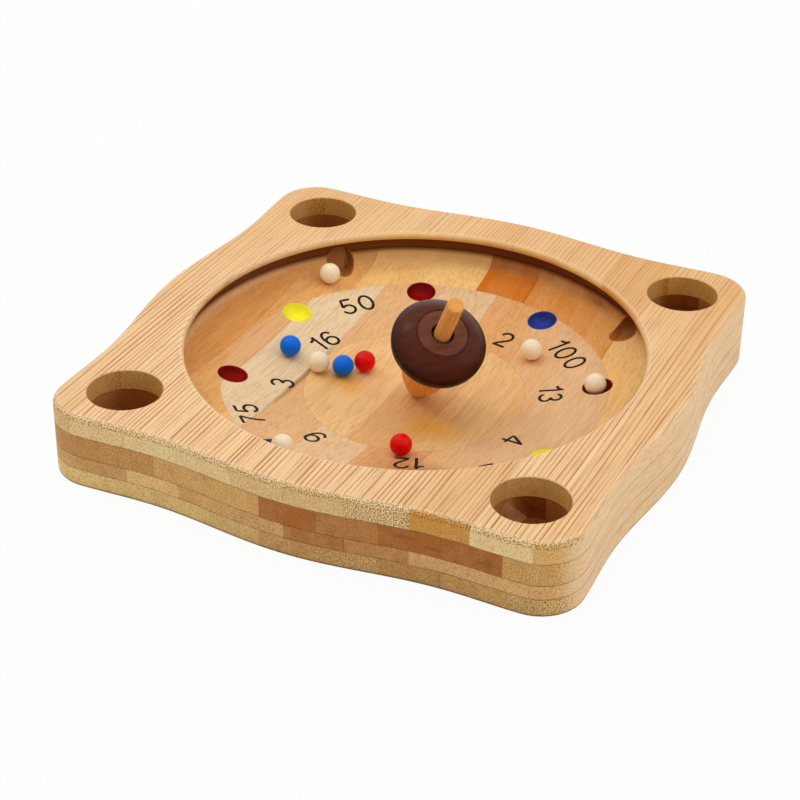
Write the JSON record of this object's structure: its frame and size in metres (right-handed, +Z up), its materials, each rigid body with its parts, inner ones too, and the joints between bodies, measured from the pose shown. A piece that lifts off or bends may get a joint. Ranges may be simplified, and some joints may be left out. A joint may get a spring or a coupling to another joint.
{
  "type": "tabletop roulette game",
  "caption": "Square bamboo game board with a turned dish, corner pockets reached through ball tunnels, a finger-spun top and small loose wooden balls.",
  "frame": {"origin": "centre of the board's underside, on the surface that it stands on", "axes": "+Z up out of the dish, +X and +Y square to the sides of the board"},
  "size_m": [0.271, 0.271, 0.0825],
  "materials": {
    "bamboo_pale": "satin oil",
    "bamboo_brown": "satin oil",
    "bamboo_mixed": "satin oil",
    "bamboo_honey": "satin oil",
    "stained_wood": "satin lacquer",
    "natural_wood": "plain",
    "blue_paint": "gloss paint",
    "red_paint": "gloss paint",
    "natural_ball": "plain"
  },
  "bodies": {
    "board": {"top_ply": "bamboo_pale", "upper_core_ply": "bamboo_brown", "lower_core_ply": "bamboo_mixed", "base_ply": "bamboo_honey"},
    "spinning_top": {"top_disc": "stained_wood", "top_stem": "natural_wood", "top_foot": "natural_wood"},
    "blue_1_ball": {"ball_blue_1": "blue_paint"},
    "blue_2_ball": {"ball_blue_2": "blue_paint"},
    "red_1_ball": {"ball_red_1": "red_paint"},
    "red_2_ball": {"ball_red_2": "red_paint"},
    "natural_1_ball": {"ball_natural_1": "natural_ball"},
    "natural_2_ball": {"ball_natural_2": "natural_ball"},
    "natural_3_ball": {"ball_natural_3": "natural_ball"},
    "natural_4_ball": {"ball_natural_4": "natural_ball"},
    "natural_5_ball": {"ball_natural_5": "natural_ball"}
  },
  "joints": [
    {"name": "top_spin", "type": "hinge", "parent": "board", "child": "spinning_top", "pos_m": [0.00194, 0.00141, 0.01276], "axis": [0.3869, -0.3937, 0.8339], "continuous": true},
    {"name": "blue_1_lift", "type": "slide", "parent": "board", "child": "blue_1_ball", "axis": [0, 0, 1], "range_m": [0, 0.06]},
    {"name": "blue_2_lift", "type": "slide", "parent": "board", "child": "blue_2_ball", "axis": [0, 0, 1], "range_m": [0, 0.06]},
    {"name": "red_1_lift", "type": "slide", "parent": "board", "child": "red_1_ball", "axis": [0, 0, 1], "range_m": [0, 0.06]},
    {"name": "red_2_lift", "type": "slide", "parent": "board", "child": "red_2_ball", "axis": [0, 0, 1], "range_m": [0, 0.06]},
    {"name": "natural_1_lift", "type": "slide", "parent": "board", "child": "natural_1_ball", "axis": [0, 0, 1], "range_m": [0, 0.06]},
    {"name": "natural_2_lift", "type": "slide", "parent": "board", "child": "natural_2_ball", "axis": [0, 0, 1], "range_m": [0, 0.06]},
    {"name": "natural_3_lift", "type": "slide", "parent": "board", "child": "natural_3_ball", "axis": [0, 0, 1], "range_m": [0, 0.06]},
    {"name": "natural_4_lift", "type": "slide", "parent": "board", "child": "natural_4_ball", "axis": [0, 0, 1], "range_m": [0, 0.06]},
    {"name": "natural_5_lift", "type": "slide", "parent": "board", "child": "natural_5_ball", "axis": [0, 0, 1], "range_m": [0, 0.06]}
  ]
}
